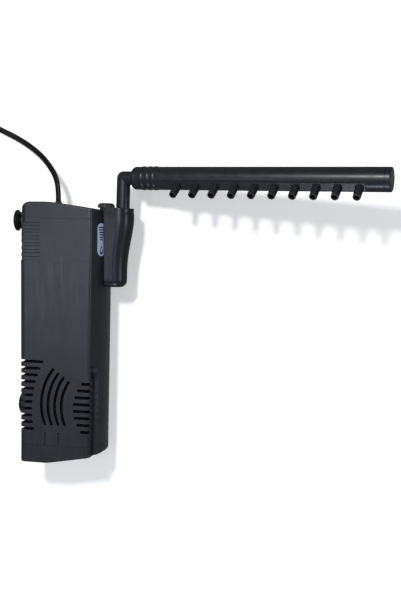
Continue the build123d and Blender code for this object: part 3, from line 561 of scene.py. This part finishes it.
# ---- shader helpers ----
class Finish:
    """One procedural material, wired from a few kinds of node."""

    def __init__(self, name, colour, roughness, metallic=0.0, coat=0.0, sheen=0.0, ior=1.5):
        self.material = bpy.data.materials.new(name)
        self.material.use_nodes = True
        self.tree = self.material.node_tree
        self.shader = self.tree.nodes["Principled BSDF"]
        self.set("Base Color", (*colour, 1))
        self.set("Roughness", roughness)
        self.set("Metallic", metallic)
        self.set("Coat Weight", coat)
        self.set("Sheen Weight", sheen)
        self.set("IOR", ior)
        self.place = self.add("ShaderNodeTexCoord").outputs["Object"]
        self.normal = None

    def set(self, socket, value):
        """Give the shader's socket a constant."""
        self.shader.inputs[socket].default_value = value

    def add(self, kind, **settings):
        """New node of this kind, with these properties."""
        node = self.tree.nodes.new(kind)
        for name, value in settings.items():
            setattr(node, name, value)
        return node

    def feed(self, node, socket, value):
        """Give a socket a constant, or another node's output."""
        if isinstance(value, bpy.types.NodeSocket):
            self.tree.links.new(value, node.inputs[socket])
        else:
            node.inputs[socket].default_value = value

    def noise(self, size, detail=3.0, rough=0.5, where=None):
        """Soft noise with features of this size, in metres."""
        node = self.add("ShaderNodeTexNoise")
        self.feed(node, "Vector", where or self.place)
        self.feed(node, "Scale", 1 / size)
        self.feed(node, "Detail", detail)
        self.feed(node, "Roughness", rough)
        return node.outputs["Fac"]

    def cells(self, size, feature="F1"):
        """Distance from cell centres, or from cell edges, for cells of this size."""
        node = self.add("ShaderNodeTexVoronoi", feature=feature)
        self.feed(node, "Vector", self.place)
        self.feed(node, "Scale", 1 / size)
        return node.outputs["Distance"]

    def stretched(self, scale):
        """The surface's own place, scaled along each axis."""
        node = self.add("ShaderNodeMapping")
        self.feed(node, "Vector", self.place)
        self.feed(node, "Scale", scale)
        return node.outputs["Vector"]

    def axis(self, name):
        """The surface's place along X, Y or Z."""
        node = self.add("ShaderNodeSeparateXYZ")
        self.feed(node, "Vector", self.place)
        return node.outputs[name]

    def ramp(self, value, low, high, first=0.0, last=1.0):
        """From first at low to last at high, with soft ends."""
        node = self.add("ShaderNodeMapRange", interpolation_type="SMOOTHSTEP")
        self.feed(node, "Value", value)
        self.feed(node, "From Min", low)
        self.feed(node, "From Max", high)
        self.feed(node, "To Min", first)
        self.feed(node, "To Max", last)
        return node.outputs["Result"]

    def math(self, operation, a, b=0.0):
        node = self.add("ShaderNodeMath", operation=operation)
        self.feed(node, 0, a)
        self.feed(node, 1, b)
        return node.outputs["Value"]

    def squares(self, a, b):
        """Sum of the squares of two values."""
        return self.math("ADD", self.math("MULTIPLY", a, a), self.math("MULTIPLY", b, b))

    def blend(self, share, a, b):
        """Mix two colours."""
        node = self.add("ShaderNodeMix", data_type="RGBA")
        self.feed(node, "Factor", share)
        self.feed(node, 6, (*a, 1) if isinstance(a, tuple) else a)
        self.feed(node, 7, (*b, 1) if isinstance(b, tuple) else b)
        return node.outputs[2]

    def bump(self, height, distance, strength):
        """Add relief of this depth, in metres, over what the surface has so far."""
        node = self.add("ShaderNodeBump")
        self.feed(node, "Height", height)
        self.feed(node, "Distance", distance)
        self.feed(node, "Strength", strength)
        if self.normal is not None:
            self.feed(node, "Normal", self.normal)
        self.normal = node.outputs["Normal"]

    def edges(self, radius):
        """1 along the surface's edges, 0 on its faces, from how far a rounded normal leans away."""
        bevel = self.add("ShaderNodeBevel", samples=4)
        self.feed(bevel, "Radius", radius)
        plain = self.add("ShaderNodeNewGeometry").outputs["Normal"]
        dot = self.add("ShaderNodeVectorMath", operation="DOT_PRODUCT")
        self.feed(dot, 0, bevel.outputs["Normal"])
        self.feed(dot, 1, plain)
        return self.ramp(dot.outputs["Value"], 0.97, 0.72)

    def colour(self, value):
        self.feed(self.shader, "Base Color", value)

    def roughness(self, value):
        self.feed(self.shader, "Roughness", value)

    def done(self):
        """The finished material, with its relief wired in."""
        if self.normal is not None:
            self.feed(self.shader, "Normal", self.normal)
        return self.material


def tint(colour, factor):
    """The colour, this many times as bright."""
    return tuple(c * factor for c in colour)


made_finishes = {}


def shared(name, make):
    """The finish of this name, made when it is first asked for."""
    if name not in made_finishes:
        made_finishes[name] = make()
    return made_finishes[name]


# ---- finishes ----
def moulded_plastic(name, colour, roughness, grain=0.45, grain_depth=0.02, edge_wear_and_highlight=0.5, ior=1.5):
    """Satin ABS from a textured tool: fine grain, faint flow marks, pale specks, and edges painted
    lighter in patches, partly as wear and partly as a painted edge highlight.

    grain and grain_depth are in millimetres.
    """
    finish = Finish(name, colour, roughness, ior=ior)
    clouds = finish.noise(28 * MM, 2.0)
    specks = finish.noise(2.2 * MM, 4.0, 0.6)
    shade = finish.blend(finish.ramp(clouds, 0.35, 0.65), tint(colour, 0.88), tint(colour, 1.12))
    shade = finish.blend(finish.ramp(specks, 0.62, 0.78, 0.0, 0.5), shade, tint(colour, 1.5))
    # Edges painted lighter in patches: partly wear, partly a painted edge highlight.
    patches = finish.ramp(finish.noise(6 * MM), 0.3, 0.6, 0.5)
    worn_and_highlit_edges = finish.math("MULTIPLY", finish.edges(0.6 * MM), patches)
    shade = finish.blend(finish.math("MULTIPLY", worn_and_highlit_edges, edge_wear_and_highlight), shade, tint(colour, 6.0))
    finish.colour(shade)
    streaks = finish.noise(5 * MM, 3.0, 0.6, finish.stretched((1.0, 0.12, 1.0)))
    gloss = finish.ramp(streaks, 0.3, 0.7, roughness - 0.03, roughness + 0.05)
    finish.roughness(gloss)
    finish.bump(finish.noise(grain * MM, 2.0, 0.6), grain_depth * MM, 0.6)
    finish.bump(finish.noise(9 * MM, 1.0), 0.05 * MM, 0.35)
    return finish.done()


def pipe_plastic():
    """Extruded tube: faint draw lines along the bar and a satin skin."""
    finish = Finish("pipe_plastic", PIPE, 0.34, ior=1.38)
    lines = finish.noise(1.4 * MM, 2.0, 0.5, finish.stretched((0.03, 1.0, 1.0)))
    dust = finish.noise(1.6 * MM, 4.0, 0.65)
    shade = finish.blend(finish.ramp(lines, 0.3, 0.7), tint(PIPE, 0.85), tint(PIPE, 1.2))
    shade = finish.blend(finish.ramp(dust, 0.64, 0.78, 0.0, 0.45), shade, tint(PIPE, 2.4))
    # Edges painted lighter: a painted edge highlight.
    shade = finish.blend(finish.math("MULTIPLY", finish.edges(0.5 * MM), 0.4), shade, tint(PIPE, 3.0))
    finish.colour(shade)
    finish.roughness(finish.ramp(finish.noise(11 * MM), 0.3, 0.7, 0.28, 0.38))
    finish.bump(lines, 0.02 * MM, 0.5)
    finish.bump(finish.noise(0.5 * MM, 2.0), 0.015 * MM, 0.5)
    return finish.done()


def soft_rubber(name, colour, roughness, bloom=0.5):
    """Moulded rubber with a chalky bloom and fine pits."""
    finish = Finish(name, colour, roughness)
    powder = finish.noise(4 * MM, 4.0, 0.6)
    shade = finish.blend(finish.ramp(powder, 0.5, 0.75, 0.0, bloom), colour, tint(colour, 2.0))
    finish.colour(shade)
    finish.roughness(finish.ramp(powder, 0.3, 0.7, roughness - 0.06, roughness + 0.1))
    finish.bump(finish.noise(0.8 * MM, 2.0), 0.03 * MM, 0.5)
    return finish.done()


def cup_rubber():
    """Soft black rubber, shared by the three cups."""
    return shared("cup_rubber", lambda: soft_rubber("cup_rubber", (0.007, 0.007, 0.008), 0.32, 0.3))


def cord_sheath():
    """Black PVC sheath with slight waves along it and a dull skin."""
    colour = (0.0035, 0.0035, 0.0045)
    finish = Finish("cord_sheath", colour, 0.44, ior=1.32)
    waves = finish.noise(7 * MM, 2.0)
    dust = finish.noise(1.1 * MM, 4.0, 0.65)
    shade = finish.blend(finish.ramp(waves, 0.3, 0.7), tint(colour, 0.85), tint(colour, 1.3))
    shade = finish.blend(finish.ramp(dust, 0.66, 0.8, 0.0, 0.4), shade, tint(colour, 3.0))
    finish.colour(shade)
    finish.roughness(finish.ramp(waves, 0.3, 0.7, 0.36, 0.48))
    finish.bump(waves, 0.08 * MM, 0.4)
    finish.bump(finish.noise(0.6 * MM, 2.0), 0.012 * MM, 0.5)
    return finish.done()


def plug_plastic():
    """Black moulding, shared by the plug and its sleeve."""
    return shared("plug_plastic", lambda: moulded_plastic(
        "plug_plastic", (0.009, 0.009, 0.010), 0.42, grain=0.6, grain_depth=0.03, edge_wear_and_highlight=0.4,
    ))


def tie_cloth():
    """Hook-and-loop band: a pile of tiny loops on a woven back."""
    colour = (0.018, 0.018, 0.020)
    finish = Finish("tie_cloth", colour, 0.9, sheen=0.6)
    loops = finish.cells(0.55 * MM)
    weave = finish.noise(1.6 * MM, 3.0)
    shade = finish.blend(finish.ramp(loops, 0.15, 0.7), tint(colour, 1.9), tint(colour, 0.4))
    finish.colour(finish.blend(finish.ramp(weave, 0.4, 0.7, 0.0, 0.5), shade, tint(colour, 1.6)))
    finish.bump(loops, 0.25 * MM, 0.8)
    return finish.done()


def foam_cells():
    """Black open-cell foam: strands painted paler and pores painted dark, as painted light and shade
    on the relief.
    """
    colour = (0.0035, 0.0035, 0.004)
    finish = Finish("foam_cells", colour, 0.95, ior=1.2)
    strands = finish.cells(1.1 * MM, "DISTANCE_TO_EDGE")
    # Painted light and shade: the raised strands lighter, the sunken pores darker.
    shade = finish.blend(finish.ramp(strands, 0.0, 0.22), tint(colour, 2.4), tint(colour, 0.25))
    lumps = finish.noise(12 * MM)
    finish.colour(finish.blend(finish.ramp(lumps, 0.3, 0.7, 0.0, 0.5), shade, tint(colour, 0.5)))
    finish.bump(finish.ramp(strands, 0.0, 0.3, 1.0, 0.0), 0.6 * MM, 0.9)
    return finish.done()


def label_bars(finish, y, aside, low_end):
    """1 on the bars of a scale that widens toward the filter's top."""
    first_bar = low_end + 16.0 * MM
    pitch = 2.45 * MM
    count = 6
    shortest = 2.6 * MM
    growth = 0.42 * MM
    soft = 0.08 * MM
    row = finish.math("DIVIDE", finish.math("SUBTRACT", y, first_bar), pitch)
    in_row = finish.math("ABSOLUTE", finish.math("SUBTRACT", finish.math("FRACT", row), 0.5))
    stripes = finish.ramp(in_row, 0.30, 0.26)
    after_first = finish.ramp(row, -0.02, 0.02)
    before_last = finish.ramp(row, count + 0.02, count - 0.02)
    within = finish.math("MULTIPLY", after_first, before_last)
    longer = finish.math("MULTIPLY", finish.math("FLOOR", row), growth)
    half_bar = finish.math("ADD", longer, shortest)
    reach = finish.ramp(finish.math("SUBTRACT", aside, half_bar), soft, -soft)
    return finish.math("MULTIPLY", finish.math("MULTIPLY", stripes, within), reach)


def label_drop(finish, y, aside, low_end):
    """1 on a water drop that is left open in its middle."""
    middle = low_end + 6.8 * MM
    half_height = 4.4 * MM
    half_width = 3.4 * MM
    up = finish.math("DIVIDE", finish.math("SUBTRACT", y, middle), half_height)
    slim = finish.ramp(up, -0.4, 1.5, 1.0, 3.6)
    wide = finish.math("MULTIPLY", finish.math("DIVIDE", aside, half_width), slim)
    from_middle = finish.squares(wide, up)
    drop = finish.ramp(from_middle, 1.06, 0.94)
    opening = finish.ramp(from_middle, 0.30, 0.24)
    return finish.math("SUBTRACT", drop, opening)


def label_border(finish, y, aside, low, high):
    """1 outside a rounded rectangle that lies a little inside the label's edge."""
    corner = 5.5 * MM
    margin = 1.1 * MM
    soft = 0.1 * MM
    straight_z = (high.z - low.z) / 2 - margin - corner
    straight_y = (high.y - low.y) / 2 - margin - corner
    along = finish.math("ABSOLUTE", finish.math("SUBTRACT", y, (low.y + high.y) / 2))
    past_side = finish.math("MAXIMUM", finish.math("SUBTRACT", aside, straight_z), 0.0)
    past_end = finish.math("MAXIMUM", finish.math("SUBTRACT", along, straight_y), 0.0)
    from_corner = finish.math("SQRT", finish.squares(past_side, past_end))
    return finish.ramp(from_corner, corner - soft, corner + soft)


def printed_label():
    """Pale sticker with a dark border, a scale of widening bars, and a water drop under it."""
    low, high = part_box("flow_label")
    paper = (0.52, 0.62, 0.88)
    ink = (0.012, 0.025, 0.11)
    finish = Finish("printed_label", paper, 0.34, coat=0.25)
    y = finish.axis("Y")
    aside = finish.math("ABSOLUTE", finish.math("SUBTRACT", finish.axis("Z"), (low.z + high.z) / 2))
    clouds = finish.ramp(finish.noise(3 * MM), 0.3, 0.7)
    shade = finish.blend(clouds, tint(paper, 0.92), tint(paper, 1.06))
    bars = label_bars(finish, y, aside, low.y)
    drop = label_drop(finish, y, aside, low.y)
    border = label_border(finish, y, aside, low, high)
    inked = finish.math("MAXIMUM", finish.math("MAXIMUM", bars, drop), border)
    finish.colour(finish.blend(inked, shade, ink))
    finish.roughness(finish.ramp(inked, 0.0, 1.0, 0.34, 0.26))
    finish.bump(finish.noise(2.0 * MM, 2.0), 0.01 * MM, 0.4)
    return finish.done()


def sheet_iron():
    """Stack of thin iron sheets, seen edge on."""
    finish = Finish("sheet_iron", (0.25, 0.25, 0.26), 0.4, metallic=1.0)
    sheet = 0.5 * MM
    sheets = finish.math("FRACT", finish.math("DIVIDE", finish.axis("Y"), sheet))
    gap = finish.ramp(finish.math("ABSOLUTE", finish.math("SUBTRACT", sheets, 0.5)), 0.38, 0.5)
    rust = finish.ramp(finish.noise(5 * MM, 4.0), 0.55, 0.75)
    shade = finish.blend(gap, (0.27, 0.27, 0.28), (0.03, 0.03, 0.03))
    finish.colour(finish.blend(rust, shade, (0.12, 0.05, 0.025)))
    finish.roughness(finish.ramp(rust, 0.0, 1.0, 0.35, 0.75))
    finish.bump(gap, 0.05 * MM, 0.6)
    return finish.done()


def copper_winding():
    """Layers of enamelled wire, side by side."""
    finish = Finish("copper_winding", (0.5, 0.2, 0.07), 0.3, metallic=0.9, coat=0.4)
    wire = 0.4 * MM
    wires = finish.math("FRACT", finish.math("DIVIDE", finish.axis("X"), wire))
    crest = finish.math("ABSOLUTE", finish.math("SUBTRACT", wires, 0.5))
    # Painted light and shade: wire crests lighter, the creases between wires darker.
    shade = finish.blend(finish.ramp(crest, 0.2, 0.5), (0.55, 0.22, 0.07), (0.16, 0.05, 0.02))
    finish.colour(shade)
    finish.roughness(finish.ramp(finish.noise(4 * MM), 0.3, 0.7, 0.25, 0.4))
    finish.bump(finish.ramp(crest, 0.0, 0.5, 1.0, 0.0), 0.12 * MM, 0.8)
    return finish.done()


def magnet_ferrite():
    """Sintered ferrite: dark grey, with a fine sparkling grain."""
    finish = Finish("magnet_ferrite", (0.06, 0.06, 0.065), 0.45, metallic=0.5)
    grain = finish.cells(0.5 * MM)
    finish.colour(finish.blend(finish.ramp(grain, 0.1, 0.7), (0.1, 0.1, 0.11), (0.035, 0.035, 0.04)))
    finish.roughness(finish.ramp(grain, 0.1, 0.7, 0.32, 0.6))
    finish.bump(grain, 0.03 * MM, 0.5)
    return finish.done()


def polished_ceramic():
    """Cream ceramic with fine grinding lines round it."""
    cream = (0.8, 0.78, 0.72)
    finish = Finish("polished_ceramic", cream, 0.15, coat=0.3)
    grinding = finish.noise(0.6 * MM, 2.0, 0.5, finish.stretched((1.0, 6.0, 1.0)))
    clouds = finish.ramp(finish.noise(3 * MM), 0.3, 0.7)
    finish.colour(finish.blend(clouds, cream, (0.72, 0.7, 0.65)))
    finish.roughness(finish.ramp(grinding, 0.3, 0.7, 0.1, 0.22))
    finish.bump(grinding, 0.005 * MM, 0.5)
    return finish.done()


def plated_pin():
    """Nickel-plated brass with rubs from the socket along the pins."""
    finish = Finish("plated_pin", (0.7, 0.68, 0.63), 0.2, metallic=1.0)
    rubs = finish.noise(0.5 * MM, 3.0, 0.6, finish.stretched((1.0, 0.1, 1.0)))
    tarnish = finish.ramp(finish.noise(6 * MM), 0.5, 0.75)
    finish.colour(finish.blend(tarnish, (0.72, 0.70, 0.65), (0.55, 0.5, 0.42)))
    finish.roughness(finish.ramp(rubs, 0.3, 0.7, 0.14, 0.34))
    finish.bump(rubs, 0.008 * MM, 0.5)
    return finish.done()


# ---- finishes of the CAD nodes ----
def finish_nodes():
    """Give every CAD node that is still shown its finish."""
    housing = moulded_plastic("housing_satin", HOUSING, 0.34)
    cover = moulded_plastic("cover_satin", tint(HOUSING, 0.92), 0.34)
    canister = moulded_plastic("canister_satin", HOUSING, 0.35)
    base = moulded_plastic("base_satin", tint(HOUSING, 0.85), 0.37)
    outlet = moulded_plastic("outlet_gloss", OUTLET, 0.27, grain=0.6, grain_depth=0.01, ior=1.38)
    inner = moulded_plastic("inner_plastic", (0.03, 0.032, 0.036), 0.5, edge_wear_and_highlight=0.2)
    white = moulded_plastic("white_plastic", (0.6, 0.6, 0.57), 0.45, edge_wear_and_highlight=0.1)
    pipe = pipe_plastic()
    rubber = soft_rubber("seal_rubber", (0.012, 0.012, 0.013), 0.55)
    resin = moulded_plastic("cast_resin", (0.02, 0.018, 0.016), 0.25, grain=3.0, grain_depth=0.05)
    finishes = {
        "head_casing": housing,
        "head_cover": cover,
        "canister": canister,
        "base_cap": base,
        "cup_bracket": moulded_plastic("bracket_satin", tint(HOUSING, 0.75), 0.45),
        "outlet_column": outlet,
        "column_cap": outlet,
        "elbow": pipe,
        "bar_collar": pipe,
        "spray_bar": pipe,
        "bar_end_cap": pipe,
        "flow_dial": moulded_plastic("dial_matt", (0.011, 0.011, 0.012), 0.5, edge_wear_and_highlight=0.7),
        "flow_spindle": inner,
        "spindle_bush": white,
        "volute_cover": inner,
        "impeller": white,
        "upper_bush": rubber,
        "elbow_seal": rubber,
        "bar_seal": rubber,
        "cable_gland": rubber,
        "flow_label": printed_label(),
        "stator_core": sheet_iron(),
        "stator_coil": copper_winding(),
        "resin_fill": resin,
        "rotor_magnet": magnet_ferrite(),
        "ceramic_shaft": polished_ceramic(),
        "plug_pins": plated_pin(),
    }
    for name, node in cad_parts.items():
        if node.hide_render:
            continue
        node.data.materials.clear()
        node.data.materials.append(finishes[name])


# ---- studio ----
def make_floor():
    """Plain pale surface. It is left out of reflections, so that the dark plastic keeps its depth."""
    reach = 3.0
    corners = [(-reach, -reach, 0), (reach, -reach, 0), (reach, reach, 0), (-reach, reach, 0)]
    floor = mesh_object("floor", corners, [(0, 1, 2, 3)], smooth=False)
    finish = Finish("floor_paper", (0.9, 0.9, 0.9), 0.8)
    finish.colour(finish.blend(finish.noise(0.15, 2.0), (0.89, 0.89, 0.89), (0.91, 0.91, 0.91)))
    finish.set("Emission Color", FLOOR_GLOW_COLOUR)
    finish.set("Emission Strength", FLOOR_GLOW)
    floor.data.materials.append(finish.done())
    floor.visible_glossy = False
    floor.visible_diffuse = False


def area_light(name, place, target, size, power, colour, shadow):
    """Square light of this size that faces its target and isn't seen itself."""
    data = bpy.data.lights.new(name, "AREA")
    data.energy = power
    data.size = size
    data.color = colour
    data.use_shadow = shadow
    light = bpy.data.objects.new(name, data)
    light.location = place
    light.rotation_mode = "QUATERNION"
    light.rotation_quaternion = (Vector(target) - Vector(place)).to_track_quat("-Z", "Y")
    light.visible_camera = False
    bpy.context.scene.collection.objects.link(light)


def make_lights():
    """An even sky, a key light from the filter's top, and small lights that draw sheen and edges."""
    world = bpy.data.worlds.new("studio")
    bpy.context.scene.world = world
    world.use_nodes = True
    sky = world.node_tree.nodes["Background"]
    sky.inputs["Color"].default_value = (1.0, 1.0, 1.0, 1.0)
    sky.inputs["Strength"].default_value = SKY_STRENGTH
    for light in LIGHTS:
        area_light(*light)
    bpy.context.scene.view_settings.view_transform = "Standard"


make_camera()
cord, cord_path = make_cord()
plug = make_plug()
relief = make_plug_relief(cord_path)
tie = make_tie()
make_cup("suction_cup_near", "cup_hanger")
make_cup("suction_cup_far", "cup_hanger")
make_cup("suction_cup_low", "sponge_case")
make_foam()
finish_nodes()
make_floor()
make_lights()
